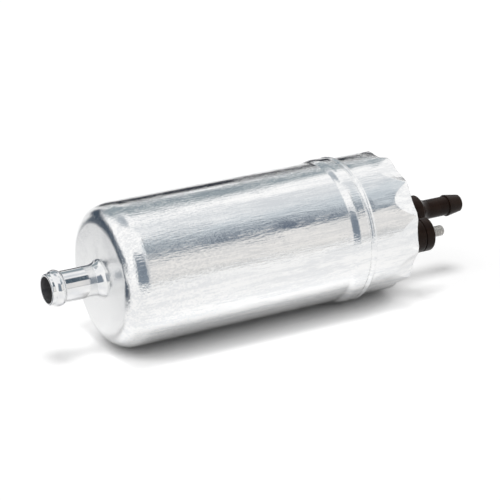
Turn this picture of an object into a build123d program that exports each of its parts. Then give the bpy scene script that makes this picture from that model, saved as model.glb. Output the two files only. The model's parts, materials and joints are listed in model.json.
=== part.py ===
from build123d import *
import os
from math import atan2, cos, pi, radians, sin

# In-line electric fuel pump, lying on its side.
# The pump's axis is X: fuel comes in at -X and leaves at +X. +Z is up.
# Stations along the axis are first counted from the can's flat nose, in mm.
# On writing, everything is moved so that the origin is on the axis,
# in the middle of the plain length of the can that a band clamp grips.

# Fits, used all over
snug = 0.01            # radial gap of a piece that is pressed or clamped in place
slip = 0.05            # radial gap of a piece that drops into place
running = 0.03         # gap of a running or sliding fit
overrun = 1.0          # how far a cut runs past the surface it opens
quarter = 90.0         # degrees in a quarter turn

# Can
body_r = 26.0
can_len = 117.5        # from the flat nose to the rear plane
can_wall = 1.3
nose_wall = 1.5
shoulder_len = 8.3     # length of the rounded shoulder
shoulder_w = 6.4       # from the can's outside to the edge of the flat nose
seat_land = 1.3        # thick ring behind the shoulder, which the pumping stage seats on
seat_width = 1.1
bead_len = 9.3
bead_rise = 1.0
bead_hollow = 0.9      # depth of the roll on the inside
bead_shares = [        # outline of the bead, as shares of its length and of its rise
    (0, 0), (0.17, 0.75), (0.38, 1), (0.68, 1), (0.765, 0.55), (0.85, 1), (0.97, 0.7), (1, 0)]
rear_len = 19.2        # from the bead to the rear plane
lip_wall = 1.2
lip_width = 4.5
corner_r = 1.4
crimp_len = 7.4        # length over which the wall is drawn in behind the cover
crimp_draw = 1.9       # how far it is drawn in
scoop_count = 12
scoop_r = 22.0         # radius of the crimping jaws
scoop_len = 8.5
scoop_depth = 2.1      # depth of a scoop at the rear plane
scoop_phase = 23.8     # degrees from the top to the first scoop

# Inlet spigot
spigot_len = 20.4
spigot_r = 5.67
spigot_bore_r = 4.8
spigot_lip = 0.5       # rounding of the mouth
hose_bead_at = 3.3     # from the mouth to the bead's crest
hose_bead_half = 2.0
hose_bead_rise = 0.93
collar_r = 7.0
collar_len = 4.4
collar_edge = 0.5
collar_shares = (0.4, 0.36)  # middle of the collar's flare, as shares of its length and rise
rivet_r = 8.5          # the flange turned over inside the can
rivet_t = 1.0

# Inlet strainer
strainer_wall = 0.8
strainer_sleeve = 4.0
strainer_cone = 6.5
strainer_tip_r = 3.4
strainer_flange_r = 7.2
strainer_flange_t = 0.8
strainer_slots = 8
strainer_slot_w = 1.2

# Pumping stage
inlet_plate_t = 6.0
ring_t = 9.0
outlet_plate_t = 6.0
thin_wall = 8.1        # least wall of the eccentric ring
rotor_wall = 3.15      # wall of the outer rotor behind its tooth spaces
teeth = 7              # teeth of the outer rotor, the inner one has one less
tooth_gap = 0.05
tooth_r_share = 0.277  # tooth radius, as a share of the tooth circle
offset_share = 0.1     # offset of the two rotors, as a share of the tooth circle
points_per_lobe = 16
port_w = 2.6
port_span = 100.0      # degrees
drive_flat = 0.6       # depth of the flat on the shaft's end

# Screws of the pumping stage
screw_count = 4
screw_phase = 45.0     # degrees
screw_edge = 4.35      # from the plates' rim to the screws' circle
screw_r = 1.5
screw_head_r = 2.7
screw_head_t = 1.6
screw_grip = 4.5       # thread in the outlet plate

# Relief valve
relief_edge = 6.05     # from the plates' rim to the valve's axis
relief_ball_r = 2.3
relief_gap = 0.3       # round the ball
relief_seat_r = 1.5
relief_plug_t = 2.0
relief_plug_hole_r = 1.2
relief_wire_r = 0.3
relief_turns = 5

# Shaft and bearings
shaft_r = 2.5
shaft_nose_gap = 0.2
shaft_tail = 1.0
shaft_chamfer = 0.4
bush_wall = 2.0
front_bush_len = 7.6
rear_bush_len = 7.0
bush_boss_wall = 1.8
front_boss_len = 4.0
washer_t = 0.8
washer_r = 4.6

# Motor
flux_wall = 2.0
magnet_t = 4.8
magnet_front_gap = 5.4
magnet_rear_gap = 10.0
magnet_span = 124.0    # degrees
clip_t = 0.6
clip_side = 2.0        # degrees taken by each leg of a clip
clip_gap = 0.4         # degrees between a leg and its magnet
air_gap = 0.6
core_inset = 5.0       # the core is shorter than the magnets by this at each end
slot_count = 8
slot_mouth = 2.2
slot_at_share = 0.65   # place of a winding slot, as a share of the core's radius
slot_r_share = 0.186
wire_fill_gap = 0.15
head_front = 5.0       # winding heads at the core's two ends
head_rear = 6.0
head_edge = 1.8
head_round = 1.5
insulator_wall = 3.0

# Commutator
bar_t = 3.0
bar_gap = 0.6
bar_margin = 0.7       # bars reach past the brushes by this
hub_wall = 1.7

# Brushes and their holder
brush_w = 5.0
brush_h = 6.0
brush_len = 9.0
brush_show = 3.0       # length out of its tube
brush_travel = 3.0
brush_spring_shut = 4.0  # length of a brush's spring with the brush pushed in
brush_slip = 0.06
tube_wall = 1.5
tube_inner_wall = 0.75
holder_t = 4.0
holder_hole_gap = 0.9  # round the thrust washer
holder_lip = 1.0
flow_count = 4         # openings that let the fuel through the holder
flow_phase = 45.0      # degrees
flow_w = 5.0
flow_span = 36.0       # degrees
flow_edge = 9.2
brush_wire_r = 0.25
brush_turns = 6
lead_r = 0.5
lead_hole_r = 0.9
lead_bend_r = 2.0
lead_rise = 2.5

# Chokes
choke_r = 1.6
choke_coil_r = 2.3
choke_pocket = 2.0
choke_end = 3.5        # bare ends of the ferrite rod

# Rear cover
skirt_len = 22.3
skirt_wall = 3.65
cover_wall = 3.2
cover_rise = 1.1       # the rear face stands this far out of the lip
lip_gap = 0.2
seal_from_front = 10.0
seal_w = 2.6
seal_depth = 1.8
seal_squeeze = 0.02
chamber_r = 4.6        # valve chamber in the hub
hub_cover_wall = 1.75
hub_len = 14.3
hub_edge = 0.5
hub_cone_len = 4.0
hub_cone_sag = 0.35
hub_inner_len = 5.4
rib_w = 3.0
rib_len = 4.0

# Outlet
outlet_r = 3.7
outlet_bore_r = 2.5
outlet_len = 33.7      # from the cover's face to the tip
barb_r = 4.15
barb_from_tip = 6.6
barb_land = 0.5
tip_r = 3.05
tip_round = 0.4

# Terminals
terminal_edge = 11.65  # from the can's outside to a stud's axis
terminal_angle = 12.64 # degrees, the line of the two studs against level
stud_r = 2.0
stud_show = 6.9
shank_r = 2.4          # plain shank of a stud, in the boss
shank_slip = 0.03
stud_head_r = 4.4
stud_head_t = 2.0
stud_chamfer = 0.4
boss_r = 6.45
boss_len = 9.6
boss_groove_at = 5.4
boss_groove_w = 0.5
boss_groove_depth = 0.35
boss_edge = 0.6
boss_inner_r = 5.6
terminal_seal_w = 1.35
terminal_seal_t = 1.2

# Check valve
seat_len = 4.0
seat_hole_r = 2.4
seat_rim_w = 0.6
seat_rim_t = 0.5
valve_gap = 0.03
valve_seal_r = 3.7
valve_seal_t = 0.8
valve_nub_r = 1.5
poppet_r = 3.9
poppet_t = 1.4
fin_len = 5.0
fin_t = 1.0
fin_clear = 0.07
fin_count = 4
spring_room = 12.0     # from the poppet's head to the shoulder in the hub
valve_wire_r = 0.25
valve_turns = 6

# Stations along the axis, from the can's nose
x_seat = shoulder_len + seat_land
x_ring = x_seat + inlet_plate_t
x_outlet_plate = x_ring + ring_t
x_flux = x_outlet_plate + outlet_plate_t
x_rear = can_len
x_bead_end = x_rear - rear_len
x_bead = x_bead_end - bead_len
clamp_land = x_bead - shoulder_len  # plain length for a band clamp
x_lip = x_rear - lip_wall
x_skirt = x_lip - skirt_len
x_holder = x_skirt - holder_t
x_magnet = x_flux + magnet_front_gap
x_magnet_end = x_holder - magnet_rear_gap
x_core = x_magnet + core_inset
x_core_end = x_magnet_end - core_inset
x_brush = x_holder - brush_show
x_brush_end = x_brush + brush_len
x_tube_back = x_brush_end + brush_travel + brush_spring_shut
x_tube_end = x_tube_back + tube_wall
x_face = x_rear + cover_rise
x_cavity = x_face - cover_wall
x_hub_inner = x_cavity - hub_inner_len
x_stud_head = x_hub_inner
x_tip = x_face + outlet_len
x_front_bush = x_flux + front_boss_len - front_bush_len
x_rear_bush = x_skirt
x_rear_bush_end = x_rear_bush + rear_bush_len
x_origin = shoulder_len + clamp_land / 2

# Radii that follow from the sizes above
face_r = body_r - shoulder_w
inner_r = body_r - can_wall
lip_r = body_r - lip_width
plate_r = inner_r - slip
screw_circle = plate_r - screw_edge
relief_at = plate_r - relief_edge
relief_bore_r = relief_ball_r + relief_gap
rotor_room = plate_r - thin_wall - running
tip_share = 1 - tooth_r_share + 2 * offset_share
tooth_circle = (rotor_room - rotor_wall - tooth_gap) / (tip_share + offset_share)
tooth_r = tooth_circle * tooth_r_share
offset_r = tooth_circle * offset_share
tooth_space_r = tooth_circle * tip_share + tooth_gap
rotor_r = tooth_space_r + rotor_wall
ring_bore_r = rotor_r + running
port_r = tooth_circle * (1 - tooth_r_share + offset_share) - port_w / 2
bush_r = shaft_r + bush_wall
flux_bore_r = plate_r - flux_wall
magnet_r = flux_bore_r - slip
magnet_bore_r = magnet_r - magnet_t
core_r = magnet_bore_r - air_gap
slot_at = core_r * slot_at_share
slot_r = core_r * slot_r_share
holder_hole_r = washer_r + holder_hole_gap
brush_at = holder_hole_r + tube_inner_wall + brush_slip + brush_h / 2
bar_r = brush_at + brush_h / 2 + bar_margin
bar_bore_r = brush_at - brush_h / 2 - bar_margin
terminal_at = body_r - terminal_edge
cavity_r = plate_r - skirt_wall
hub_r = chamber_r + hub_cover_wall


def station(x):
    """The cross plane at x: its own x runs along +Y and its own y along +Z."""
    return Plane(origin=(x, 0, 0), x_dir=(0, 1, 0), z_dir=(1, 0, 0))


def slab(x0, x1, sketch):
    """A sketch on the cross plane, carried from x0 to x1."""
    return extrude(station(x0) * sketch, x1 - x0)


def ring(x0, x1, r_out, r_in=0):
    """A round piece on the axis, bored if r_in is given."""
    sketch = Circle(r_out)
    if r_in > 0:
        sketch -= Circle(r_in)
    return slab(x0, x1, sketch)


def turned(*edges):
    """A closed outline of (x, r) edges, spun round the axis."""
    return revolve(make_face(list(edges)), Axis.X)


def lines(*points):
    """Straight edges through (x, r) points."""
    return [Line(a, b) for a, b in zip(points, points[1:])]


def at(angle, radius):
    """A point on the cross plane, at an angle from +Y towards +Z."""
    return (radius * cos(radians(angle)), radius * sin(radians(angle)))


def around(count, first=0.0):
    """Evenly spaced angles."""
    return [first + 360.0 * i / count for i in range(count)]


def sector(r_in, r_out, middle, span):
    """A sketch of a ring's sector."""
    first = middle - span / 2
    last = middle + span / 2
    outer = CenterArc((0, 0), r_out, first, span)
    inner = CenterArc((0, 0), r_in, first, span)
    sides = [Line(at(a, r_in), at(a, r_out)) for a in (first, last)]
    return make_face([outer, inner, *sides])


def coil(x0, x1, mean_r, wire_r, turns, where):
    """A coil spring between the cross planes x0 and x1."""
    rise = x1 - x0 - 2 * wire_r
    path = Helix(rise / turns, rise, mean_r, (x0 + wire_r, *where), (1, 0, 0))
    section = Plane(origin=path @ 0, z_dir=path % 0) * Circle(wire_r)
    return sweep(section, path=path, is_frenet=True)


def rear(shape):
    """Turns a piece of the rear end, drawn with its studs level, to the studs' real line."""
    return Rot(terminal_angle, 0, 0) * shape


def pump_can():
    """Drawn can: nose, shoulder, rolled bead and the lip crimped over the cover."""
    hole_r = spigot_r + snug
    bead = [(x_bead + bead_len * along, body_r + bead_rise * up) for along, up in bead_shares]
    x_corner = x_rear - corner_r
    corner_mid = corner_r * cos(pi / 4)
    hollow_r = inner_r + bead_hollow
    nose_arc = EllipticalCenterArc(
        (shoulder_len, face_r), shoulder_len, shoulder_w, quarter, arc_size=quarter)
    inner_seat_r = inner_r - seat_width
    inner_arc = EllipticalCenterArc(
        (shoulder_len, face_r), shoulder_len - nose_wall, inner_seat_r - face_r,
        quarter, arc_size=quarter)
    outside = [
        *lines((0, hole_r), (0, face_r)),
        nose_arc,
        *lines((shoulder_len, body_r), bead[0]),
        ThreePointArc(*bead[0:3]),
        Line(*bead[2:4]),
        ThreePointArc(*bead[3:6]),
        ThreePointArc(*bead[5:8]),
        *lines(bead[7], (x_corner, body_r)),
        ThreePointArc(
            (x_corner, body_r),
            (x_corner + corner_mid, body_r - corner_r + corner_mid),
            (x_rear, body_r - corner_r)),
    ]
    inside = [
        *lines(
            (x_rear, body_r - corner_r), (x_rear, lip_r), (x_lip, lip_r),
            (x_lip, inner_r - crimp_draw), (x_lip - crimp_len, inner_r),
            (x_bead_end - bead_rise, inner_r), (x_bead_end - 2 * bead_rise, hollow_r),
            (x_bead + 2 * bead_rise, hollow_r), (x_bead + bead_rise, inner_r),
            (x_seat, inner_r), (x_seat, inner_seat_r), (shoulder_len, inner_seat_r)),
        inner_arc,
        *lines((nose_wall, face_r), (nose_wall, hole_r), (0, hole_r)),
    ]
    can = turned(*outside, *inside)
    for angle in around(scoop_count, scoop_phase):
        can -= Rot(angle, 0, 0) * scoop()
    return can


def scoop():
    """One jaw of the crimping tool: a tilted round bar over the can's rear corner."""
    lean = atan2(scoop_depth, scoop_len)
    touch = Vector(x_rear - scoop_len / 2, 0, body_r - scoop_depth / 2)
    middle = touch + Vector(sin(lean), 0, cos(lean)) * scoop_r
    jaw = Plane(origin=middle, z_dir=(cos(lean), 0, -sin(lean)))
    return jaw * Cylinder(scoop_r, 2 * rear_len)


def inlet_spigot():
    """Hose spigot with a bead and a collar, its inner end turned over behind the nose."""
    x_mouth = -spigot_len
    x_crest = x_mouth + hose_bead_at
    x_inner = nose_wall + rivet_t
    along, up = collar_shares
    flare_mid = (-collar_len * along, spigot_r + (collar_r - spigot_r) * up)
    return turned(
        Line((x_mouth, spigot_bore_r), (x_mouth, spigot_r - spigot_lip)),
        RadiusArc((x_mouth, spigot_r - spigot_lip), (x_mouth + spigot_lip, spigot_r), spigot_lip),
        Line((x_mouth + spigot_lip, spigot_r), (x_crest - hose_bead_half, spigot_r)),
        ThreePointArc(
            (x_crest - hose_bead_half, spigot_r),
            (x_crest, spigot_r + hose_bead_rise),
            (x_crest + hose_bead_half, spigot_r)),
        Line((x_crest + hose_bead_half, spigot_r), (-collar_len, spigot_r)),
        ThreePointArc((-collar_len, spigot_r), flare_mid, (-collar_edge, collar_r)),
        *lines(
            (-collar_edge, collar_r), (0, collar_r), (0, spigot_r), (nose_wall, spigot_r),
            (nose_wall, rivet_r), (x_inner, rivet_r), (x_inner, spigot_bore_r),
            (x_mouth, spigot_bore_r)))


def inlet_strainer():
    """Slotted cone in the spigot's bore, with a flange against the riveted end."""
    x_flange = nose_wall + rivet_t
    x_sleeve = x_flange - strainer_sleeve
    x_tip = x_sleeve - strainer_cone
    outer_r = spigot_bore_r - snug
    shell = turned(*lines(
        (x_tip, 0), (x_tip, strainer_tip_r), (x_sleeve, outer_r), (x_flange, outer_r),
        (x_flange, strainer_flange_r), (x_flange + strainer_flange_t, strainer_flange_r),
        (x_flange + strainer_flange_t, outer_r - strainer_wall),
        (x_sleeve, outer_r - strainer_wall),
        (x_tip + strainer_wall, strainer_tip_r - strainer_wall),
        (x_tip + strainer_wall, 0), (x_tip, 0)))
    for angle in around(strainer_slots):
        slot = Pos(0, outer_r / 2, 0) * Rectangle(strainer_slot_w, outer_r)
        slot -= Circle(strainer_slot_w)
        shell -= slab(x_tip + 2 * strainer_wall, x_sleeve - strainer_wall, Rot(0, 0, angle) * slot)
    return shell


def port(middle):
    """A curved port over the spaces between the rotors, on one side of the axis."""
    line = CenterArc((0, offset_r / 2), port_r, middle - port_span / 2, port_span)
    return SlotArc(line, port_w)


def screw_holes(r):
    """The holes or sections of the pumping stage's screws."""
    spots = [Pos(*at(angle, screw_circle)) for angle in around(screw_count, screw_phase)]
    return Sketch() + [spot * Circle(r) for spot in spots]


def stage_holes():
    """What passes through the stage: the screws and the relief valve's bore."""
    return screw_holes(screw_r + slip) + Pos(0, -relief_at) * Circle(relief_bore_r)


def inlet_plate():
    """Front plate: screws pass through, and fuel comes in on the +Y side."""
    return slab(x_seat, x_ring, Circle(plate_r) - port(0) - stage_holes())


def pump_ring():
    """Eccentric ring. Its thick side holds the relief valve."""
    sketch = Circle(plate_r) - stage_holes()
    sketch -= Pos(0, offset_r) * Circle(ring_bore_r)
    return slab(x_ring, x_outlet_plate, sketch)


def outlet_plate():
    """Rear plate: outlet port on the -Y side, relief seat, tapped holes and the bush's boss."""
    boss_r_out = bush_r + bush_boss_wall
    plate = ring(x_outlet_plate, x_flux, plate_r)
    plate += ring(x_flux, x_flux + front_boss_len, boss_r_out)
    plate -= slab(x_outlet_plate - overrun, x_flux + overrun, port(180))
    plate -= slab(x_outlet_plate, x_outlet_plate + screw_grip + slip, screw_holes(screw_r + snug))
    relief = Pos(0, -relief_at) * Circle(relief_seat_r)
    plate -= slab(x_outlet_plate - overrun, x_flux + overrun, relief)
    plate -= ring(x_outlet_plate - overrun, x_flux, shaft_r + slip)
    plate -= ring(x_front_bush, x_flux + front_boss_len + overrun, bush_r)
    return plate


def pump_screws():
    """Four screws, heads at the inlet plate."""
    heads = slab(x_seat - screw_head_t, x_seat, screw_holes(screw_head_r))
    shanks = slab(x_seat, x_outlet_plate + screw_grip, screw_holes(screw_r))
    return heads + shanks


def outer_rotor():
    """Ring rotor with round teeth. Its centre is above the pump's axis."""
    sketch = Circle(rotor_r) - Circle(tooth_space_r)
    for angle in around(teeth, -quarter):
        tooth = Pos(*at(angle, tooth_circle)) * Circle(tooth_r)
        sketch += tooth & Circle(tooth_space_r + rotor_wall / 2)
    return slab(x_ring + running, x_outlet_plate - running, Pos(0, offset_r) * sketch)


def lobe_point(turn):
    """A point of the inner rotor's outline: the curve that rolls against the round teeth."""
    lean = atan2(
        sin((1 - teeth) * turn),
        tooth_circle / (offset_r * teeth) - cos((1 - teeth) * turn))
    reach = tooth_r + tooth_gap
    down = tooth_circle * cos(turn) - reach * cos(turn + lean) - offset_r * cos(teeth * turn)
    side = -tooth_circle * sin(turn) + reach * sin(turn + lean) + offset_r * sin(teeth * turn)
    return (side, -down)


def lobe_edge(first):
    """One valley of the inner rotor, from the tip of one lobe to the tip of the next."""
    pitch = 2 * pi / (teeth - 1)
    steps = range(points_per_lobe + 1)
    return Spline(*[lobe_point(pitch * (first + 0.5 + i / points_per_lobe)) for i in steps])


def inner_rotor():
    """Lobed rotor, driven by the flat on the shaft."""
    outline = [lobe_edge(first) for first in range(teeth - 1)]
    sketch = make_face(outline) - flatted(shaft_r + running)
    return slab(x_ring + running, x_outlet_plate - running, sketch)


def flatted(r):
    """A round section with a flat, as on the shaft's end."""
    keep = Pos(0, -drive_flat) * Rectangle(2 * r, 2 * r)
    return Circle(r) & keep


def relief_ball_x():
    """Where the ball's middle lies when it rests on the edge of its seat."""
    depth = (relief_ball_r ** 2 - relief_seat_r ** 2) ** 0.5
    return x_outlet_plate - depth - running


def relief_ball():
    """Ball of the relief valve, on its seat."""
    return Pos(relief_ball_x(), 0, -relief_at) * Sphere(relief_ball_r)


def relief_spring():
    """Spring that holds the ball on its seat."""
    mean_r = relief_seat_r
    depth = (relief_ball_r ** 2 - mean_r ** 2) ** 0.5
    x_end = relief_ball_x() - depth - relief_wire_r
    return coil(x_seat + relief_plug_t, x_end, mean_r, relief_wire_r, relief_turns, (0, -relief_at))


def relief_plug():
    """Bored plug that carries the relief spring."""
    sketch = Circle(relief_bore_r - snug) - Circle(relief_plug_hole_r)
    return slab(x_seat, x_seat + relief_plug_t, Pos(0, -relief_at) * sketch)


def motor_shaft():
    """Shaft from the inner rotor to the rear bush, with the flat at its front end."""
    x_nose = x_ring + shaft_nose_gap
    x_tail = x_rear_bush_end + shaft_tail
    bar = turned(*lines(
        (x_nose, 0), (x_nose, shaft_r - shaft_chamfer), (x_nose + shaft_chamfer, shaft_r),
        (x_tail - shaft_chamfer, shaft_r), (x_tail, shaft_r - shaft_chamfer), (x_tail, 0),
        (x_nose, 0)))
    flat = Circle(shaft_r + overrun) - flatted(shaft_r)
    return bar - slab(x_nose - overrun, x_outlet_plate - running, flat)


def front_bearing():
    """Sintered bush in the outlet plate."""
    return ring(x_front_bush, x_front_bush + front_bush_len, bush_r - snug, shaft_r + running)


def rear_bearing():
    """Sintered bush in the brush holder."""
    return ring(x_rear_bush, x_rear_bush_end, bush_r - snug, shaft_r + running)


def thrust_washers():
    """One washer at each bush."""
    x_front = x_front_bush + front_bush_len + running
    x_back = x_rear_bush - running
    front = ring(x_front, x_front + washer_t, washer_r, shaft_r + snug)
    back = ring(x_back - washer_t, x_back, washer_r, shaft_r + snug)
    return front + back


def slot_spots():
    """Where the winding slots lie."""
    return [Pos(*at(angle, slot_at)) for angle in around(slot_count)]


def armature_core():
    """Stack of laminations with open winding slots."""
    sketch = Circle(core_r) - Circle(shaft_r + snug)
    for angle in around(slot_count):
        mouth = Pos(slot_at + core_r / 2, 0) * Rectangle(core_r, slot_mouth)
        pocket = Pos(slot_at, 0) * Circle(slot_r)
        sketch -= Rot(0, 0, angle) * (mouth + pocket)
    return slab(x_core, x_core_end, sketch)


def winding_head(x0, x1, away):
    """The rounded bundle of wire at one end of the core. away is the end off the core."""
    r_in = shaft_r + insulator_wall
    r_out = core_r - head_edge
    bundle = ring(x0, x1, r_out, r_in)
    rims = [edge for edge in bundle.edges() if abs(edge.center().X - away) < running]
    return fillet(rims, head_round)


def armature_winding():
    """Winding: the wire in the slots and a head at each end, on an insulating sleeve."""
    x_front = x_core - head_front
    x_back = x_core_end + head_rear
    winding = winding_head(x_front, x_core, x_front)
    winding += winding_head(x_core_end, x_back, x_back)
    fill = Sketch() + [spot * Circle(slot_r - wire_fill_gap) for spot in slot_spots()]
    winding += slab(x_core - overrun, x_core_end + overrun, fill)
    x_washer = x_front_bush + front_bush_len + running + washer_t
    winding += ring(x_washer + running, x_core, shaft_r + insulator_wall + overrun, shaft_r + snug)
    return winding


def commutator_hub():
    """Moulded carrier of the bars, from the winding to the rear thrust washer."""
    x_bars = x_brush - running - bar_t
    x_collar = x_brush - running
    x_washer = x_rear_bush - running - washer_t
    return turned(*lines(
        (x_core_end + head_rear, shaft_r + snug), (x_core_end + head_rear, bar_r - bar_margin),
        (x_bars, bar_r - bar_margin), (x_bars, bar_bore_r - snug), (x_collar, bar_bore_r - snug),
        (x_collar, shaft_r + hub_wall), (x_washer, shaft_r + hub_wall),
        (x_washer, shaft_r + snug), (x_core_end + head_rear, shaft_r + snug)))


def commutator_bars():
    """Flat copper bars, one to a slot of the core."""
    span = 360.0 / slot_count
    gap = bar_gap / bar_r * 180 / pi
    bars = [sector(bar_bore_r, bar_r, angle, span - gap) for angle in around(slot_count)]
    return slab(x_brush - running - bar_t, x_brush - running, Sketch() + bars)


def flux_ring():
    """Steel tube that closes the magnets' field."""
    return ring(x_flux, x_holder, plate_r, flux_bore_r)


def magnet(middle):
    """Arc magnet on one side."""
    return slab(x_magnet, x_magnet_end, sector(magnet_bore_r, magnet_r, middle, magnet_span))


def magnet_clips():
    """Two spring clips that spread the magnets, above and below."""
    room = 180.0 - magnet_span - 2 * clip_gap
    leg_at = (room - clip_side) / 2
    clips = Sketch()
    for middle in around(2, quarter):
        clips += sector(magnet_r - clip_t, magnet_r, middle, room)
        for side in (-leg_at, leg_at):
            clips += sector(magnet_bore_r + clip_t, magnet_r, middle + side, clip_side)
    return slab(x_magnet, x_magnet_end, clips)


def brush_spots():
    """Places of the two brushes, above and below the axis, before the rear end is turned."""
    return {"upper": Pos(0, brush_at), "lower": Pos(0, -brush_at)}


def brush_holder():
    """Moulded plate: two closed tubes for the brushes and the rear bush's seat."""
    boss = bush_r + bush_boss_wall
    holder = ring(x_holder, x_skirt, plate_r)
    holder += ring(x_skirt, x_rear_bush_end + holder_lip, boss)
    for spot in brush_spots().values():
        outer = Rectangle(brush_w + 2 * tube_wall, brush_h + 2 * tube_wall)
        holder += slab(x_holder, x_tube_end, spot * outer)
    for spot in brush_spots().values():
        bore = Rectangle(brush_w + 2 * brush_slip, brush_h + 2 * brush_slip)
        holder -= slab(x_holder - overrun, x_tube_back, spot * bore)
        holder -= slab(x_holder, x_tube_end + overrun, spot * Circle(lead_hole_r))
    for angle in around(flow_count, flow_phase):
        line = CenterArc((0, 0), plate_r - flow_edge, angle - flow_span / 2, flow_span)
        holder -= slab(x_holder - overrun, x_skirt + overrun, SlotArc(line, flow_w))
    for side in (-terminal_at, terminal_at):
        pocket = Pos(side, 0) * Circle(choke_r + slip)
        holder -= slab(x_skirt - choke_pocket, x_skirt + overrun, pocket)
    holder -= ring(x_holder - overrun, x_skirt, holder_hole_r)
    holder -= ring(x_skirt - overrun, x_rear_bush_end, bush_r)
    holder -= ring(x_skirt, x_rear_bush_end + holder_lip + overrun, shaft_r + bush_wall / 2)
    return rear(holder)


def brush(name):
    """Carbon brush on the commutator's flat face."""
    block = brush_spots()[name] * Rectangle(brush_w, brush_h)
    return rear(slab(x_brush, x_brush_end, block))


def brush_spring(name):
    """Spring behind a brush."""
    side = brush_at if name == "upper" else -brush_at
    mean_r = brush_w / 2 - 2 * brush_wire_r
    return rear(coil(x_brush_end, x_tube_back, mean_r, brush_wire_r, brush_turns, (0, side)))


def brush_lead(name):
    """Braided lead from a brush, through its spring, to the choke on its side."""
    up = 1 if name == "upper" else -1
    x_turn = x_tube_end + lead_rise
    start = Vector(x_brush_end, 0, up * brush_at)
    corner = Vector(x_turn, 0, up * brush_at)
    choke = Vector(x_turn, -up * terminal_at, 0)
    run = choke - corner
    stop = choke - run.normalized() * (choke_r + running)
    path = FilletPolyline(start, corner, stop, radius=lead_bend_r)
    section = Plane(origin=path @ 0, z_dir=path % 0) * Circle(lead_r)
    return rear(sweep(section, path=path))


def choke(side):
    """Suppression choke: a wound ferrite rod between the holder and the stud's head."""
    spot = Pos(side * terminal_at, 0)
    x_front = x_skirt - choke_pocket
    x_back = x_stud_head - stud_head_t
    rod = slab(x_front, x_back, spot * Circle(choke_r))
    winding = slab(x_front + choke_end, x_tube_back, spot * Circle(choke_coil_r))
    return rear(rod + winding)


def cover_body():
    """The cover's cup: skirt with its seal groove, end wall and the step under the lip."""
    x_groove = x_skirt + seal_from_front
    floor_r = inner_r - seal_depth
    draw = crimp_draw + slip
    return turned(*lines(
        (x_skirt, cavity_r), (x_skirt, plate_r), (x_groove, plate_r), (x_groove, floor_r),
        (x_groove + seal_w, floor_r), (x_groove + seal_w, plate_r),
        (x_lip - crimp_len, plate_r), (x_lip, inner_r - draw), (x_lip, lip_r - lip_gap),
        (x_face, lip_r - lip_gap), (x_face, 0), (x_cavity, 0), (x_cavity, cavity_r),
        (x_skirt, cavity_r)))


def outlet_hub():
    """Valve hub, its cone and the barbed outlet, all on the axis."""
    x_cone = x_face + hub_len
    x_tube = x_cone + hub_cone_len
    x_barb = x_tip - barb_from_tip
    cone_r = hub_r - hub_edge
    cone_mid = ((x_cone + x_tube) / 2 - hub_cone_sag, (cone_r + outlet_r) / 2 - hub_cone_sag)
    return turned(
        *lines((x_cavity, 0), (x_cavity, hub_r), (x_cone - hub_edge, hub_r)),
        RadiusArc((x_cone - hub_edge, hub_r), (x_cone, cone_r), hub_edge),
        ThreePointArc((x_cone, cone_r), cone_mid, (x_tube, outlet_r)),
        *lines(
            (x_tube, outlet_r), (x_barb, outlet_r), (x_barb + tip_round / 2, barb_r),
            (x_barb + barb_land, barb_r), (x_tip - tip_round, tip_r + tip_round / 2),
            (x_tip, tip_r - tip_round / 2), (x_tip, 0), (x_cavity, 0)))


def terminal_boss():
    """Boss for one stud, with a fine groove near its outer end."""
    x_end = x_face + boss_len
    x_groove = x_face + boss_groove_at
    boss = slab(x_cavity, x_end, Circle(boss_r))
    boss = fillet(boss.faces().sort_by(Axis.X)[-1].edges(), boss_edge)
    band = Circle(boss_r + overrun) - Circle(boss_r - boss_groove_depth)
    boss -= slab(x_groove, x_groove + boss_groove_w, band)
    boss += slab(x_hub_inner, x_cavity, Circle(boss_inner_r))
    return boss


def rear_cover():
    """Moulded rear cover with the hub, the outlet, two terminal bosses and their ribs."""
    cover = cover_body() + outlet_hub()
    cover += ring(x_hub_inner, x_cavity, hub_r)
    cover += slab(x_cavity, x_face + rib_len, Rectangle(2 * terminal_at, rib_w))
    cover += slab(x_cavity, x_face + rib_len, Rectangle(rib_w, 2 * terminal_at))
    for side in (-terminal_at, terminal_at):
        cover += Pos(0, side, 0) * terminal_boss()
    for side in (-terminal_at, terminal_at):
        spot = Pos(side, 0)
        hole_r = shank_r + shank_slip
        recess = spot * Circle(hole_r + terminal_seal_w)
        cover -= slab(x_hub_inner - overrun, x_tip, spot * Circle(hole_r))
        cover -= slab(x_hub_inner - overrun, x_hub_inner + terminal_seal_t, recess)
        cover -= slab(x_skirt - overrun, x_hub_inner, spot * Circle(stud_head_r + slip))
    cover -= ring(x_hub_inner - overrun, valve_shoulder_x(), chamber_r)
    cover -= ring(x_hub_inner, x_tip + overrun, outlet_bore_r)
    return rear(cover)


def cover_seal():
    """Round seal in the cover's groove."""
    minor = seal_depth / 2 - seal_squeeze
    middle = x_skirt + seal_from_front + seal_w / 2
    return station(middle) * Torus(inner_r - seal_depth / 2, minor)


def terminal(side):
    """Stud: a head inside the cover, a plain shank in the boss and the thread that shows."""
    spot = Pos(side * terminal_at, 0)
    x_thread = x_face + boss_len
    stud = slab(x_thread, x_thread + stud_show, spot * Circle(stud_r))
    stud = chamfer(stud.faces().sort_by(Axis.X)[-1].edges(), stud_chamfer)
    stud += slab(x_stud_head, x_thread, spot * Circle(shank_r))
    stud += slab(x_stud_head - stud_head_t, x_stud_head, spot * Circle(stud_head_r))
    return rear(stud)


def terminal_seals():
    """Seal under each stud's head."""
    seal = Circle(shank_r + terminal_seal_w) - Circle(shank_r + shank_slip)
    seals = [Pos(side * terminal_at, 0) * seal for side in (-1, 1)]
    return rear(slab(x_stud_head, x_stud_head + terminal_seal_t, Sketch() + seals))


def valve_face_x():
    """Where the check valve's seat ends."""
    return x_hub_inner + seat_len + seat_rim_t


def poppet_x():
    """Front of the poppet's head."""
    return valve_face_x() + valve_gap + valve_seal_t


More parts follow.
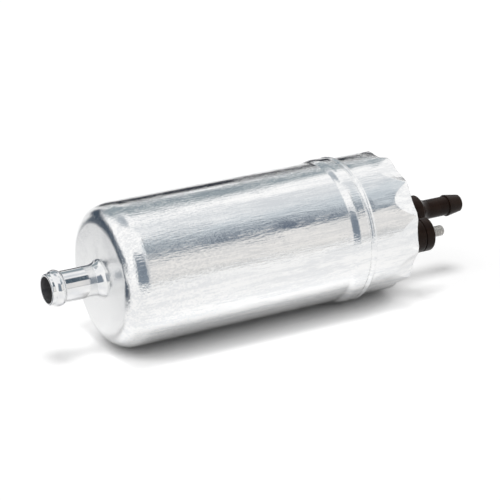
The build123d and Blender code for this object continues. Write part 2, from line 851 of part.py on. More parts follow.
def valve_shoulder_x():
    """Where the valve chamber narrows to the outlet's bore."""
    return poppet_x() + poppet_t + spring_room


def check_valve_seat():
    """Pressed-in seat with a raised rim."""
    seat = ring(x_hub_inner, x_hub_inner + seat_len, chamber_r - snug, seat_hole_r)
    return seat + ring(x_hub_inner, valve_face_x(), seat_hole_r + seat_rim_w, seat_hole_r)


def check_valve_seal():
    """Rubber face of the poppet."""
    x_front = valve_face_x() + valve_gap
    return ring(x_front, poppet_x(), valve_seal_r, valve_nub_r + snug)


def check_valve_poppet():
    """Poppet: head, a nub through the seal and guide fins in the chamber."""
    x_head_end = poppet_x() + poppet_t
    poppet = ring(valve_face_x() + valve_gap, poppet_x(), valve_nub_r)
    poppet += ring(poppet_x(), x_head_end, poppet_r)
    guide = Circle(chamber_r - fin_clear) - Circle(valve_fin_r())
    for angle in around(fin_count):
        fin = Pos(chamber_r / 2, 0) * Rectangle(chamber_r, fin_t) & guide
        poppet += slab(poppet_x(), x_head_end + fin_len, Rot(0, 0, angle) * fin)
    return rear(poppet)


def valve_fin_r():
    """Inner edge of the fins, which clears the spring."""
    return valve_spring_r() + valve_wire_r + slip


def valve_spring_r():
    """Mean radius of the check valve's spring, which bears on the shoulder in the hub."""
    return outlet_bore_r + 2 * valve_wire_r


def check_valve_spring():
    """Spring behind the poppet."""
    x_front = poppet_x() + poppet_t
    return coil(x_front, valve_shoulder_x(), valve_spring_r(), valve_wire_r, valve_turns, (0, 0))


def all_pieces():
    """Every piece by the name of its node."""
    return {
        "pump_can": pump_can(),
        "inlet_spigot": inlet_spigot(),
        "inlet_strainer": inlet_strainer(),
        "inlet_plate": inlet_plate(),
        "pump_ring": pump_ring(),
        "outer_rotor": outer_rotor(),
        "inner_rotor": inner_rotor(),
        "outlet_plate": outlet_plate(),
        "pump_screws": pump_screws(),
        "relief_ball": relief_ball(),
        "relief_spring": relief_spring(),
        "relief_plug": relief_plug(),
        "motor_shaft": motor_shaft(),
        "front_bearing": front_bearing(),
        "rear_bearing": rear_bearing(),
        "thrust_washers": thrust_washers(),
        "armature_core": armature_core(),
        "armature_winding": armature_winding(),
        "commutator_hub": commutator_hub(),
        "commutator_bars": commutator_bars(),
        "flux_ring": flux_ring(),
        "magnet_left": magnet(180.0),
        "magnet_right": magnet(0.0),
        "magnet_clips": magnet_clips(),
        "brush_holder": brush_holder(),
        "brush_upper": brush("upper"),
        "brush_lower": brush("lower"),
        "brush_spring_upper": brush_spring("upper"),
        "brush_spring_lower": brush_spring("lower"),
        "brush_lead_upper": brush_lead("upper"),
        "brush_lead_lower": brush_lead("lower"),
        "choke_positive": choke(-1),
        "choke_negative": choke(1),
        "rear_cover": rear_cover(),
        "cover_seal": cover_seal(),
        "terminal_positive": terminal(-1),
        "terminal_negative": terminal(1),
        "terminal_seals": terminal_seals(),
        "check_valve_seat": check_valve_seat(),
        "check_valve_seal": check_valve_seal(),
        "check_valve_poppet": check_valve_poppet(),
        "check_valve_spring": check_valve_spring(),
    }


os.makedirs("parts", exist_ok=True)
for node, shape in all_pieces().items():
    export_step(Pos(-x_origin, 0, 0) * shape, f"parts/{node}.step")
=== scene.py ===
import json
from math import cos, pi, radians, sin

import bmesh
import bpy
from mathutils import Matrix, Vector


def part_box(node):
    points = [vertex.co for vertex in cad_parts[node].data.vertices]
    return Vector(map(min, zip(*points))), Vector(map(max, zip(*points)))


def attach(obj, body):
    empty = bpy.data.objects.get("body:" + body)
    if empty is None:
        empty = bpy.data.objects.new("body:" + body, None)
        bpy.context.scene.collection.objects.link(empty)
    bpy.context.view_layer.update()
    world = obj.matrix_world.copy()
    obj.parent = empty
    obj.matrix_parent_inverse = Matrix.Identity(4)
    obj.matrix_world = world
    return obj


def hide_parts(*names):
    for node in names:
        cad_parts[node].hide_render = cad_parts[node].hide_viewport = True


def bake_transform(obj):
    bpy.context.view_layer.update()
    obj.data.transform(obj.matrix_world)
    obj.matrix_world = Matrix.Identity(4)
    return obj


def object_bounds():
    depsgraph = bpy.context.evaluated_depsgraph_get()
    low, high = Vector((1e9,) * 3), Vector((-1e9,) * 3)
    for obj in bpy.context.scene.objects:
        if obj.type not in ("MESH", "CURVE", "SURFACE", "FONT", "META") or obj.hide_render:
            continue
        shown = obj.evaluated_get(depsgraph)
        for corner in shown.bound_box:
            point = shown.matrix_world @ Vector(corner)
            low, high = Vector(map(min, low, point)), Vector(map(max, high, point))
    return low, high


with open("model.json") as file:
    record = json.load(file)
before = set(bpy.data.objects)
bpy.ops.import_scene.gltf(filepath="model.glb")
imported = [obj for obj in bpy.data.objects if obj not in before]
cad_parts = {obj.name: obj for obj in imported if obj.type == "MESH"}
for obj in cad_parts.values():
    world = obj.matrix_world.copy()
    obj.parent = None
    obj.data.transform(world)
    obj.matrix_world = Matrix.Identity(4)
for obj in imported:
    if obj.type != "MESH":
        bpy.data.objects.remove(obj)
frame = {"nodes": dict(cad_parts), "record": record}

cad_box = [list(corner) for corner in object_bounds()]
mm = 0.001

# Camera, as the photograph shows the pump
camera_at = Vector((-316.585, -580.243, 270.162)) * mm
camera_forward = Vector((0.45601, 0.80616, -0.37703))
camera_lens = 142.48        # focal length and sensor's width in millimetres
camera_sensor = 36.0
camera_near = 10 * mm

# Stage
floor_size = 12.0
floor_albedo = 0.80
world_diffuse = 0.22
lamps = {
    # name: direction of its light, strength, angle in degrees
    "key": (Vector((0.02, 0.05, -1.0)), 1.7, 21.0),
    "fill": (Vector((0.60, 0.16, -0.78)), 0.70, 50.0),
}
# Painted light: the floor's glow, with its painted shadow, also shows in mirrors at this share
mirrored_glow_share = 0.60  # of the floor's glow, in what mirrors show

# Painted light: how much the floor glows, by the share of the sky that it sees, so that the glow fades
# into a painted shadow where the pump hides the sky
painted_floor_glow = [
    (0.0, 0.0), (0.06, 0.0), (0.115, 0.03), (0.196, 0.10), (0.28, 0.20), (0.378, 0.37),
    (0.46, 0.56), (0.536, 0.64), (0.62, 0.50), (0.8, 0.34), (1.0, 0.30)]
sky_reach = 0.25
sky_samples = 16

# Dark sheets just over the floor, as mirror-like surfaces see them: the middle of
# their polar places, height over the floor, azimuths, reach, soft edges of both
nose_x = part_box("pump_can")[0][0]
flag_level = (0.10, 0.12, 0.15)
flags = {
    "room_edge": ((nose_x, 0.0), 0.2 * mm, (100, 170), (0.125, 5.5), ((8, 14), (0.03, 0.5))),
    "nose_shade": ((nose_x, -18 * mm), 0.3 * mm, (121, 188), (0.045, 0.16), ((8, 16), (0.012, 0.02))),
}
card_steps = 24

# Dark cards beyond the outlet, at card_r from the pump's axis, which the sides of the can and
# of the spigot show: along the axis, around it in degrees, level, soft edges of both
card_r = 1.0
side_cards = {
    "can_card": ((0.43, 0.60), (112, 141.5), (0.12, 0.15, 0.20), ((0.06, 0.03), (18, 2.5))),
    "spigot_card": ((0.300, 0.372), (104, 141.5), (0.06, 0.09, 0.12), ((0.01, 0.002), (10, 1.0))),
}

# The studio above the floor, as mirror-like surfaces see it
studio = {
    # azimuth of the middle, half width, soft edge, heights, soft edges of the heights, level
    "over_rear": (0, 24, 7, (50, 90), (6, 1), (0.78, 0.80, 0.82)),
    "far_ceiling": (102, 44, 24, (52, 90), (10, 14), (0.46, 0.50, 0.54)),
    "far_wall": (81, 39, 10, (25.5, 59), (3, 12), (0.30, 0.35, 0.38)),
    "far_room": (120, 36, 10, (-14, 28), (3, 10), (0.07, 0.09, 0.12)),
    "room_line": (62, 24, 6, (-1.5, 19.5), (3, 2), (0.04, 0.045, 0.055)),
    "left_room": (166, 26, 14, (-6, 22), (6, 12), (0.16, 0.19, 0.23)),
    "front_wall": (258, 30, 9, (-4, 52), (6, 12), (0.22, 0.26, 0.31)),
    "near_wall": (305, 24, 8, (-3, 36), (1, 1), (0.82, 0.805, 0.79)),
    "near_horizon": (305, 24, 8, (-3, 9), (1, 6), (0.66, 0.66, 0.655)),
    "near_band_high": (322, 36, 10, (40, 63), (2, 8), (0.60, 0.65, 0.69)),
    "near_band": (312, 26, 10, (33.5, 43.5), (1.5, 6), (0.24, 0.29, 0.34)),
}

# How the edges of the studio's parts wander, in degrees, and the grain of it
azimuth_wander = 2.0
azimuth_grain = (0.18, 0.18, 0.18)
height_wander = 1.0
height_grain = (0.22, 0.22, 0.12)

# Marks on the can: their sizes along X, Y and Z, and their depths
can_waves = (40 * mm, 11 * mm, 11 * mm)
can_dents = (9 * mm, 6 * mm, 6 * mm)
can_bands = (30 * mm, 2.2 * mm, 2.2 * mm)
can_streaks = (5 * mm, 0.55 * mm, 0.55 * mm)
can_grains = (1.1 * mm, 0.8 * mm, 0.8 * mm)
can_patches = (16 * mm, 10 * mm, 10 * mm)
can_wave_depth = 0.09 * mm
can_dent_depth = 0.35 * mm
can_band_depth = 0.012 * mm
can_streak_depth = 0.10 * mm
can_grain_depth = 0.06 * mm

# Where the marks show: streaks in patches of the metal, grains towards the nose, dents at the crimp
streak_patches = (0.40, 0.60)  # of the patches' noise
streaks_between = 0.25      # share of the streaks' strength between the patches
grains_fade = (-30 * mm, 5 * mm)  # along X
grains_behind = 0.35        # share of the grains' strength behind the place where they fade
dents_start = (44 * mm, 52 * mm)  # along X

# Tones and roughness of the can's side and of the flat face of its nose
mark_tone = 1.2             # how much streaks and grains show in the colour
side_tone_range = (0.35, 0.65)
side_tones = ((0.84, 0.85, 0.86), (0.97, 0.97, 0.965))
side_rough = (0.13, 0.07)
face_start = (0.975, 0.998)  # how squarely the face looks forward, from its soft edge inwards
face_tones = ((0.88, 0.885, 0.885), (0.95, 0.95, 0.95))
face_rough = 0.27
can_edge = 0.8 * mm         # radius that rounds its sharp edges off

# Finish of the spigot
spigot_bore_r = 4.8 * mm
bore_margin = 0.15 * mm
bore_tone = (0.46, 0.46, 0.47)
bore_rough = 0.45
plating_tones = ((0.80, 0.81, 0.83), (0.93, 0.93, 0.92))
plating_rough = (0.05, 0.10)
spigot_marks = (0.25 * mm, 6 * mm, 6 * mm)
spigot_mark_depth = 0.0006 * mm
spigot_waves = (5 * mm, 3 * mm, 3 * mm)
spigot_wave_depth = 0.02 * mm
spigot_edge = 0.25 * mm

# Finish of the rear cover
plastic_grain = (0.35 * mm, 0.35 * mm, 0.35 * mm)
plastic_grain_depth = 0.008 * mm
plastic_clouds = (5 * mm, 5 * mm, 5 * mm)
plastic_cloud_depth = 0.05 * mm
plastic_tones = ((0.010, 0.004, 0.002), (0.020, 0.009, 0.005))
plastic_rough = (0.20, 0.32)
plastic_specular = 0.14
plastic_edge = 0.3 * mm

# Finish of the studs' threads
thread_marks = (0.2 * mm, 1.5 * mm, 1.5 * mm)
thread_mark_depth = 0.002 * mm
thread_tones = ((0.84, 0.82, 0.78), (0.95, 0.94, 0.91))
thread_rough = (0.18, 0.28)
thread_metallic = 0.7
# Painted shade in the bottom of the thread: its tone, and the shares of the thread's depth over which it
# comes in
groove_shade_tone = (0.22, 0.21, 0.20)
groove_shade_darkens = (0.5, 1.0)  # from this share of the thread's depth to that one

# Plain finishes: their grains along X, Y and Z, and how a fine and a broad noise share the tone
even = (0.4 * mm, 0.4 * mm, 0.4 * mm)
turned = (0.2 * mm, 3 * mm, 3 * mm)
drawn = (9 * mm, 0.4 * mm, 0.4 * mm)
laminated = (0.5 * mm, 20 * mm, 20 * mm)
fine_share = 0.6
broad_share = 0.4
broad_scale = 8             # times the grain's size
plain_finishes = {
    # dark tone, light tone, metallic, range of roughness, grain, its depth
    "stud_steel": ((0.52, 0.50, 0.44), (0.74, 0.73, 0.68), 1.0, (0.22, 0.34), turned, 0.004 * mm),
    "sintered_steel": ((0.17, 0.17, 0.17), (0.34, 0.34, 0.34), 0.9, (0.42, 0.60), even, 0.02 * mm),
    "rotor_steel": ((0.40, 0.40, 0.41), (0.56, 0.56, 0.57), 1.0, (0.20, 0.32), even, 0.004 * mm),
    "bronze": ((0.38, 0.24, 0.10), (0.62, 0.43, 0.22), 1.0, (0.34, 0.50), even, 0.012 * mm),
    "shaft_steel": ((0.55, 0.55, 0.56), (0.70, 0.70, 0.71), 1.0, (0.14, 0.24), turned, 0.002 * mm),
    "spring_steel": ((0.40, 0.40, 0.41), (0.60, 0.60, 0.61), 1.0, (0.22, 0.34), even, 0.003 * mm),
    "copper": ((0.55, 0.20, 0.09), (0.78, 0.36, 0.19), 1.0, (0.24, 0.38), drawn, 0.03 * mm),
    "lamination": ((0.12, 0.12, 0.13), (0.24, 0.24, 0.25), 0.9, (0.40, 0.55), laminated, 0.02 * mm),
    "flux_steel": ((0.34, 0.34, 0.35), (0.50, 0.50, 0.51), 1.0, (0.28, 0.42), drawn, 0.006 * mm),
    "ferrite": ((0.025, 0.025, 0.028), (0.060, 0.060, 0.064), 0.0, (0.45, 0.65), even, 0.015 * mm),
    "carbon": ((0.030, 0.030, 0.030), (0.070, 0.070, 0.070), 0.2, (0.40, 0.58), even, 0.012 * mm),
    "holder_plastic": ((0.60, 0.57, 0.47), (0.72, 0.69, 0.60), 0.0, (0.35, 0.50), even, 0.006 * mm),
    "strainer_plastic": (
        (0.012, 0.012, 0.014), (0.030, 0.030, 0.033), 0.0, (0.35, 0.50), even, 0.008 * mm),
    "seal_rubber": ((0.010, 0.010, 0.010), (0.026, 0.026, 0.026), 0.0, (0.50, 0.68), even, 0.010 * mm),
}

# All finishes
noise_range = (0.3, 0.7)    # where most of a noise lies
noise_middle = 0.5
edge_samples = 6

# Sizes of the studs, as in the CAD model
stud_r = 2.0 * mm
stud_show = 6.9 * mm
shank_r = 2.4 * mm
head_t = 2.0 * mm
stud_chamfer = 0.4 * mm

# Their threads, which the scene adds
thread_pitch = 0.7 * mm
thread_depth = 0.43 * mm
thread_crest_share = 0.12
thread_flank_share = 0.62
thread_turns = 64           # points round a thread
rows_a_pitch = 14
sharp_angle = 40            # degrees from which an edge of a stud is sharp


def new_material(name):
    """A node material and its main shader."""
    material = bpy.data.materials.new(name)
    material.use_nodes = True
    return material, material.node_tree, material.node_tree.nodes["Principled BSDF"]


def stretched(tree, sizes, space="Object"):
    """Coordinates in units of a grain that is this long along X, Y and Z."""
    place = tree.nodes.new("ShaderNodeTexCoord")
    scaled = tree.nodes.new("ShaderNodeVectorMath")
    scaled.operation = "DIVIDE"
    scaled.inputs[1].default_value = sizes
    tree.links.new(place.outputs[space], scaled.inputs[0])
    return scaled.outputs[0]


def noise(tree, sizes, detail=2.0, roughness=0.5, space="Object"):
    """A noise with grains of these sizes."""
    node = tree.nodes.new("ShaderNodeTexNoise")
    node.inputs["Scale"].default_value = 1.0
    node.inputs["Detail"].default_value = detail
    node.inputs["Roughness"].default_value = roughness
    tree.links.new(stretched(tree, sizes, space), node.inputs["Vector"])
    return node.outputs["Fac"]


def split(tree, space):
    """The three parts of a kind of coordinates."""
    place = tree.nodes.new("ShaderNodeTexCoord")
    parts = tree.nodes.new("ShaderNodeSeparateXYZ")
    tree.links.new(place.outputs[space], parts.inputs[0])
    return parts.outputs


def remap(tree, value, low, high, to_low, to_high, smooth=False):
    """value, carried from low..high to to_low..to_high and held there."""
    node = tree.nodes.new("ShaderNodeMapRange")
    node.interpolation_type = "SMOOTHSTEP" if smooth else "LINEAR"
    for socket, number in zip(node.inputs[1:5], (low, high, to_low, to_high)):
        socket.default_value = number
    tree.links.new(value, node.inputs["Value"])
    return node.outputs["Result"]


def arithmetic(tree, operation, *values):
    """A math node on sockets and numbers."""
    node = tree.nodes.new("ShaderNodeMath")
    node.operation = operation
    for socket, value in zip(node.inputs, values):
        if isinstance(value, (int, float)):
            socket.default_value = value
        else:
            tree.links.new(value, socket)
    return node.outputs[0]


def spread(tree, value, low=0.0, high=1.0):
    """A noise, carried from its usual range to low..high."""
    return remap(tree, value, *noise_range, low, high)


def centred(tree, value, strength):
    """A noise about zero, times a strength."""
    return arithmetic(tree, "MULTIPLY", arithmetic(tree, "SUBTRACT", value, noise_middle), strength)


def window(tree, value, low, high, first, last):
    """1 from low to high and 0 outside, with soft margins of these widths inside the two ends."""
    rise = remap(tree, value, low, low + first, 0.0, 1.0, smooth=True)
    fall = remap(tree, value, high - last, high, 1.0, 0.0, smooth=True)
    return arithmetic(tree, "MULTIPLY", rise, fall)


def mix(tree, kind, factor, *ends):
    """A value between two ends, each a socket, a number or a colour."""
    node = tree.nodes.new("ShaderNodeMix")
    node.data_type = kind
    tree.links.new(factor, node.inputs["Factor"])
    for name, end in zip("AB", ends):
        if isinstance(end, bpy.types.NodeSocket):
            tree.links.new(end, node.inputs[name])
        elif kind == "RGBA":
            node.inputs[name].default_value = (*end, 1)
        else:
            node.inputs[name].default_value = end
    return node.outputs["Result"]


def two_tone(tree, factor, dark, light):
    """A colour between dark and light, which may be sockets."""
    return mix(tree, "RGBA", factor, dark, light)


def between(tree, factor, low, high):
    """A number between low and high, which may be sockets."""
    return mix(tree, "FLOAT", factor, low, high)


def mix_shaders(tree, factor, first, second, out):
    """Links the output to the first shader, and by the factor to the second."""
    node = tree.nodes.new("ShaderNodeMixShader")
    for source, socket in zip((factor, first.outputs[0], second.outputs[0]), node.inputs):
        tree.links.new(source, socket)
    tree.links.new(node.outputs[0], out.inputs["Surface"])


def eased_edges(tree, radius):
    """Normals that round the sharp edges off."""
    node = tree.nodes.new("ShaderNodeBevel")
    node.samples = edge_samples
    node.inputs["Radius"].default_value = radius
    return node.outputs["Normal"]


def relief(tree, shader, *layers, below=None):
    """Bump on the normals below, from layers of (height socket, depth in metres)."""
    for height, depth in layers:
        node = tree.nodes.new("ShaderNodeBump")
        node.inputs["Strength"].default_value = 1.0
        node.inputs["Distance"].default_value = depth
        tree.links.new(height, node.inputs["Height"])
        if below is not None:
            tree.links.new(below, node.inputs["Normal"])
        below = node.outputs["Normal"]
    tree.links.new(below, shader.inputs["Normal"])


def surface(name, dark, light, metallic, rough, grain, depth):
    """A plain finish: two tones, a range of roughness and a grain of its own size and depth."""
    material, tree, shader = new_material(name)
    shader.inputs["Metallic"].default_value = metallic
    fine = noise(tree, grain, detail=3.0)
    broad = noise(tree, [broad_scale * size for size in grain])
    tone = arithmetic(tree, "MULTIPLY", broad, broad_share)
    tone = spread(tree, arithmetic(tree, "MULTIPLY_ADD", fine, fine_share, tone))
    tree.links.new(two_tone(tree, tone, dark, light), shader.inputs["Base Color"])
    tree.links.new(spread(tree, broad, *rough), shader.inputs["Roughness"])
    relief(tree, shader, (fine, depth))
    return material


def can_aluminium():
    """Bright drawn aluminium with lengthwise streaks, soft waves, grains that fade behind the nose
    and dents where the rear end is crimped. The flat face of the nose is duller."""
    material, tree, shader = new_material("can_aluminium")
    shader.inputs["Metallic"].default_value = 1.0
    along = split(tree, "Object")["X"]
    forward = arithmetic(tree, "MULTIPLY", split(tree, "Normal")["X"], -1.0)
    face = remap(tree, forward, *face_start, 0.0, 1.0, smooth=True)
    waves = noise(tree, can_waves)
    bands = noise(tree, can_bands, detail=3.0)
    patches = noise(tree, can_patches)
    strong = remap(tree, patches, *streak_patches, streaks_between, 1.0, smooth=True)
    streaks = noise(tree, can_streaks, detail=3.0, roughness=0.55)
    streaks = centred(tree, streaks, strong)
    near_nose = remap(tree, along, *grains_fade, 1.0, grains_behind, smooth=True)
    grains = noise(tree, can_grains, roughness=0.6)
    grains = centred(tree, grains, near_nose)
    crimped = remap(tree, along, *dents_start, 0.0, 1.0, smooth=True)
    dents = arithmetic(tree, "MULTIPLY", noise(tree, can_dents, detail=1.0), crimped)
    tone = arithmetic(tree, "MULTIPLY_ADD", streaks, mark_tone, bands)
    tone = arithmetic(tree, "MULTIPLY_ADD", grains, mark_tone, tone)
    side = two_tone(tree, remap(tree, tone, *side_tone_range, 0.0, 1.0), *side_tones)
    flat = two_tone(tree, patches, *face_tones)
    tree.links.new(two_tone(tree, face, side, flat), shader.inputs["Base Color"])
    rough = between(tree, face, spread(tree, bands, *side_rough), face_rough)
    tree.links.new(rough, shader.inputs["Roughness"])
    relief(
        tree, shader, (waves, can_wave_depth), (dents, can_dent_depth), (bands, can_band_depth),
        (streaks, can_streak_depth), (grains, can_grain_depth), below=eased_edges(tree, can_edge))
    return material


def spigot_chrome():
    """Plated and polished metal with fine turning marks, dull inside the bore."""
    material, tree, shader = new_material("spigot_chrome")
    shader.inputs["Metallic"].default_value = 1.0
    place = split(tree, "Object")
    across = arithmetic(tree, "MULTIPLY", place["Y"], place["Y"])
    up = arithmetic(tree, "MULTIPLY", place["Z"], place["Z"])
    radius = arithmetic(tree, "SQRT", arithmetic(tree, "ADD", across, up))
    bore = remap(tree, radius, spigot_bore_r, spigot_bore_r + bore_margin, 1.0, 0.0)
    marks = noise(tree, spigot_marks)
    waves = noise(tree, spigot_waves)
    plating = two_tone(tree, spread(tree, waves), *plating_tones)
    tree.links.new(two_tone(tree, bore, plating, bore_tone), shader.inputs["Base Color"])
    polished = spread(tree, marks, *plating_rough)
    tree.links.new(between(tree, bore, polished, bore_rough), shader.inputs["Roughness"])
    relief(
        tree, shader, (waves, spigot_wave_depth), (marks, spigot_mark_depth),
        below=eased_edges(tree, spigot_edge))
    return material


def brown_plastic():
    """Moulded dark brown plastic with a fine texture."""
    material, tree, shader = new_material("brown_plastic")
    fine = noise(tree, plastic_grain, detail=3.0, roughness=0.6)
    clouds = noise(tree, plastic_clouds, detail=3.0)
    tone = two_tone(tree, spread(tree, clouds), *plastic_tones)
    tree.links.new(tone, shader.inputs["Base Color"])
    tree.links.new(spread(tree, clouds, *plastic_rough), shader.inputs["Roughness"])
    shader.inputs["Specular IOR Level"].default_value = plastic_specular
    relief(
        tree, shader, (clouds, plastic_cloud_depth), (fine, plastic_grain_depth),
        below=eased_edges(tree, plastic_edge))
    return material


def thread_steel():
    """Bright steel with painted shade, darker in the bottom of its thread."""
    material, tree, shader = new_material("thread_steel")
    shader.inputs["Metallic"].default_value = thread_metallic
    # Painted shade: darker where the thread is cut deeper
    groove = remap(tree, split(tree, "UV")["X"], *groove_shade_darkens, 0.0, 1.0, smooth=True)
    marks = noise(tree, thread_marks)
    bright = two_tone(tree, marks, *thread_tones)
    tree.links.new(two_tone(tree, groove, bright, groove_shade_tone), shader.inputs["Base Color"])
    tree.links.new(spread(tree, marks, *thread_rough), shader.inputs["Roughness"])
    relief(tree, shader, (marks, thread_mark_depth))
    return material


finishes = {
    "thread_steel": thread_steel(),
    "can_aluminium": can_aluminium(),
    "spigot_chrome": spigot_chrome(),
    "brown_plastic": brown_plastic(),
}
for finish_name, finish in plain_finishes.items():
    finishes[finish_name] = surface(finish_name, *finish)
slots = {subpart["node"]: subpart["material_slot"] for subpart in frame["record"]["subparts"]}


def dress_nodes():
    """Gives each piece of the frame the finish that its record names."""
    for node, slot in slots.items():
        materials = frame["nodes"][node].data.materials
        materials.clear()
        materials.append(finishes[slot])


def mirrored_ray(tree, ray):
    """1 for what a mirror-like surface shows, and 0 for the light that it throws on other things."""
    thrown = arithmetic(tree, "MINIMUM", ray.outputs["Diffuse Depth"], 1.0)
    shown = arithmetic(tree, "SUBTRACT", 1.0, thrown)
    return arithmetic(tree, "MULTIPLY", ray.outputs["Is Glossy Ray"], shown)


def make_floor():
    """Plain pale floor, lit by the lamps, with a painted glow that makes it white where it sees the sky:
    the pump's soft shadow on it is partly cast and partly painted.
    """
    material, tree, shader = new_material("floor")
    shader.inputs["Base Color"].default_value = (floor_albedo, floor_albedo, floor_albedo, 1)
    shader.inputs["Roughness"].default_value = 1.0
    shader.inputs["Specular IOR Level"].default_value = 0.0
    shader.inputs["Emission Color"].default_value = (1, 1, 1, 1)
    sky = tree.nodes.new("ShaderNodeAmbientOcclusion")
    sky.samples = sky_samples
    sky.inputs["Distance"].default_value = sky_reach
    by_sky = tree.nodes.new("ShaderNodeFloatCurve")
    curve = by_sky.mapping.curves[0]
    for place, height in painted_floor_glow[1:-1]:
        curve.points.new(place, height)
    curve.points[0].location = painted_floor_glow[0]
    curve.points[-1].location = painted_floor_glow[-1]
    by_sky.mapping.update()
    tree.links.new(sky.outputs["AO"], by_sky.inputs["Value"])
    ray = tree.nodes.new("ShaderNodeLightPath")
    mirrored = arithmetic(tree, "MULTIPLY", mirrored_ray(tree, ray), mirrored_glow_share)
    shown = arithmetic(tree, "MAXIMUM", ray.outputs["Is Camera Ray"], mirrored)
    # Painted light: the glow fades into a painted shadow where the pump hides the sky, for the camera
    # and in part for mirrors
    glow = arithmetic(tree, "MULTIPLY", shown, by_sky.outputs["Value"])
    tree.links.new(glow, shader.inputs["Emission Strength"])
    mesh = bpy.data.meshes.new("floor")
    half = floor_size / 2
    corners = [(-half, -half), (half, -half), (half, half), (-half, half)]
    mesh.from_pydata([(x, y, cad_box[0][2]) for x, y in corners], [], [(0, 1, 2, 3)])
    floor = bpy.data.objects.new("floor", mesh)
    mesh.materials.append(material)
    bpy.context.scene.collection.objects.link(floor)


def make_card(name, spans, point, level, edges):
    """A sheet that only mirror-like surfaces see. Its two spans are carried to places by point, and
    it has a soft margin at each end of both."""
    (a0, a1), (b0, b1) = spans
    row = card_steps + 1
    shares = [(i / card_steps, j / card_steps) for i in range(row) for j in range(row)]
    mesh = bpy.data.meshes.new(name)
    quads = [
        (i * row + j, i * row + j + 1, (i + 1) * row + j + 1, (i + 1) * row + j)
        for i in range(card_steps) for j in range(card_steps)]
    mesh.from_pydata([point(a0 + (a1 - a0) * i, b0 + (b1 - b0) * j) for i, j in shares], [], quads)
    reach = mesh.uv_layers.new(name="reach")
    for loop in mesh.loops:
        i, j = shares[loop.vertex_index]
        reach.data[loop.index].uv = ((a1 - a0) * i, (b1 - b0) * j)
    material = bpy.data.materials.new(name)
    material.use_nodes = True
    tree = material.node_tree
    tree.nodes.clear()
    parts = split(tree, "UV")
    mask = None
    for socket, size, margins in zip((parts["X"], parts["Y"]), (a1 - a0, b1 - b0), edges):
        side = window(tree, socket, 0.0, size, *margins)
        mask = side if mask is None else arithmetic(tree, "MULTIPLY", mask, side)
    clear = tree.nodes.new("ShaderNodeBsdfTransparent")
    glow = tree.nodes.new("ShaderNodeEmission")
    glow.inputs["Color"].default_value = (*level, 1)
    mix_shaders(tree, mask, clear, glow, tree.nodes.new("ShaderNodeOutputMaterial"))
    card = bpy.data.objects.new(name, mesh)
    mesh.materials.append(material)
    bpy.context.scene.collection.objects.link(card)
    for kind in ("camera", "diffuse", "transmission", "volume_scatter", "shadow"):
        setattr(card, "visible_" + kind, False)


def on_floor(middle, height):
    """Gives the place that lies at an azimuth and a reach from the middle, just over the floor."""
    def place(azimuth, reach):
        a = radians(azimuth)
        return middle[0] + reach * cos(a), middle[1] + reach * sin(a), cad_box[0][2] + height
    return place


def round_axis(along, around):
    """The place of a side card's point along and around the pump's axis."""
    a = radians(around)
    return along, card_r * cos(a), card_r * sin(a)


def studio_view(tree):
    """What mirror-like surfaces see of the studio above the floor."""
    direction = split(tree, "Generated")
    azimuth = arithmetic(tree, "DEGREES", arithmetic(tree, "ARCTAN2", direction["Y"], direction["X"]))
    height = arithmetic(tree, "DEGREES", arithmetic(tree, "ARCSINE", direction["Z"]))
    aside = noise(tree, azimuth_grain, space="Generated")
    aside = spread(tree, aside, -azimuth_wander, azimuth_wander)
    azimuth = arithmetic(tree, "ADD", azimuth, aside)
    upward = noise(tree, height_grain, space="Generated")
    upward = spread(tree, upward, -height_wander, height_wander)
    height = arithmetic(tree, "ADD", height, upward)
    seen = (1, 1, 1)
    for middle, half, soft, heights, margins, level in studio.values():
        turn = arithmetic(tree, "SUBTRACT", azimuth, middle)
        off = arithmetic(tree, "ABSOLUTE", arithmetic(tree, "WRAP", turn, 180.0, -180.0))
        round_part = remap(tree, off, half - soft, half, 1.0, 0.0, smooth=True)
        up_part = window(tree, height, *heights, *margins)
        mask = arithmetic(tree, "MULTIPLY", round_part, up_part)
        seen = two_tone(tree, mask, seen, level)
    return seen


def make_world():
    """White to the camera, a studio to mirror-like surfaces, and plain light to all others."""
    world = bpy.data.worlds.new("studio")
    bpy.context.scene.world = world
    world.use_nodes = True
    tree = world.node_tree
    out = next(node for node in tree.nodes if node.type == "OUTPUT_WORLD")
    ray = tree.nodes.new("ShaderNodeLightPath")
    plain = tree.nodes["Background"]
    plain.inputs["Color"].default_value = (1, 1, 1, 1)
    white = arithmetic(tree, "MAXIMUM", ray.outputs["Is Camera Ray"], ray.outputs["Is Transmission Ray"])
    tree.links.new(remap(tree, white, 0.0, 1.0, world_diffuse, 1.0), plain.inputs["Strength"])
    mirrored = tree.nodes.new("ShaderNodeBackground")
    tree.links.new(studio_view(tree), mirrored.inputs["Color"])
    mix_shaders(tree, mirrored_ray(tree, ray), plain, mirrored, out)


def make_lamp(name, direction, strength, angle):
    """A soft light from far away, which mirror-like surfaces don't see."""
    data = bpy.data.lights.new(name, "SUN")
    data.energy = strength
    data.angle = radians(angle)
    lamp = bpy.data.objects.new(name, data)
    lamp.rotation_euler = direction.to_track_quat("-Z", "Y").to_euler()
    lamp.visible_glossy = False
    bpy.context.scene.collection.objects.link(lamp)


def make_camera():
    """The camera of the photograph."""
    data = bpy.data.cameras.new("camera")
    data.lens = camera_lens
    data.sensor_width = camera_sensor
    data.clip_start = camera_near
    camera = bpy.data.objects.new("camera", data)
    camera.location = camera_at
    camera.rotation_euler = camera_forward.to_track_quat("-Z", "Y").to_euler()
    bpy.context.scene.collection.objects.link(camera)
    bpy.context.scene.camera = camera


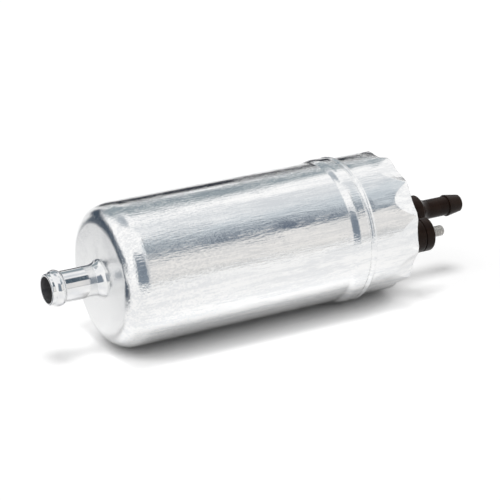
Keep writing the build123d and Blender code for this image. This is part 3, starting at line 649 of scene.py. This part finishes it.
def thread_rows(start, tip):
    """Rows of points round the thread: the place along X, the radius and how much is cut away there,
    as a share of the thread's depth."""
    rows = int(stud_show / thread_pitch * rows_a_pitch)
    for row in range(rows + 1):
        x = start + stud_show * row / rows
        tip_r = stud_r - stud_chamfer + (tip - x)
        fade = min(1.0, (x - start) / thread_pitch)
        points = []
        for turn in range(thread_turns):
            phase = ((x - start) / thread_pitch - turn / thread_turns) % 1.0
            fall = (abs(2 * phase - 1) - thread_crest_share) / thread_flank_share
            cut = thread_depth * fade * min(1.0, max(0.0, fall))
            points.append((x, min(stud_r - cut, tip_r), cut / thread_depth))
        yield points


def threaded_stud(node):
    """A terminal's stud with its thread, in the place of the CAD model's plain one."""
    low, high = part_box(node)
    axis_y, axis_z = (low[1] + high[1]) / 2, (low[2] + high[2]) / 2
    head_r = (high[1] - low[1]) / 2
    head_end = low[0] + head_t
    thread_from = high[0] - stud_show
    rings = [(low[0], head_r), (head_end, head_r), (head_end, shank_r), (thread_from, shank_r)]
    rows = [[(x, r, 0.0)] * thread_turns for x, r in rings]
    rows.extend(thread_rows(thread_from, high[0]))
    form = bmesh.new()
    # This layer carries how deep the thread is cut at each point, for the painted shade in its bottom
    groove = form.loops.layers.uv.new("groove")
    made = []
    depths = {}
    for row in rows:
        made.append([])
        for turn, (x, r, depth) in enumerate(row):
            angle = 2 * pi * turn / thread_turns
            point = form.verts.new((x, axis_y + r * cos(angle), axis_z + r * sin(angle)))
            depths[point] = depth
            made[-1].append(point)
    for first, second in zip(made, made[1:]):
        for turn in range(thread_turns):
            after = (turn + 1) % thread_turns
            form.faces.new((first[turn], first[after], second[after], second[turn]))
    form.faces.new(made[0][::-1])
    form.faces.new(made[-1])
    bmesh.ops.recalc_face_normals(form, faces=form.faces)
    for face in form.faces:
        for corner in face.loops:
            corner[groove].uv = (depths[corner.vert], 0.0)
    mesh = bpy.data.meshes.new(node + "_threaded")
    form.to_mesh(mesh)
    form.free()
    for face in mesh.polygons:
        face.use_smooth = len(face.vertices) == 4
    mesh.set_sharp_from_angle(angle=radians(sharp_angle))
    stud = bpy.data.objects.new(node + "_threaded", mesh)
    mesh.materials.append(finishes["thread_steel"])
    bpy.context.scene.collection.objects.link(stud)
    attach(stud, "housing")
    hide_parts(node)


def flexing_pieces():
    """Copies of the springs and leads that the joints name as deforming, in the places of the CAD
    model's rigid ones; the copies are rigid too."""
    for joint in frame["record"]["behaviour"]["joints"]:
        for facts in joint.get("deforming_nodes", ()):
            node = facts["node"]
            ends = [corner[0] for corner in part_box(node)]
            piece = bpy.data.objects.new(node + "_flexing", frame["nodes"][node].data.copy())
            bpy.context.scene.collection.objects.link(piece)
            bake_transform(piece)
            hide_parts(node)


make_world()
for lamp_name, facts in lamps.items():
    make_lamp(lamp_name, *facts)
make_floor()
for flag_name, (middle, height, azimuths, reach, edges) in flags.items():
    make_card(flag_name, (azimuths, reach), on_floor(middle, height), flag_level, edges)
for card_name, (along, around, level, edges) in side_cards.items():
    make_card(card_name, (along, around), round_axis, level, edges)
dress_nodes()
for terminal in ("terminal_positive", "terminal_negative"):
    threaded_stud(terminal)
flexing_pieces()
make_camera()
bpy.context.scene.view_settings.view_transform = "Standard"
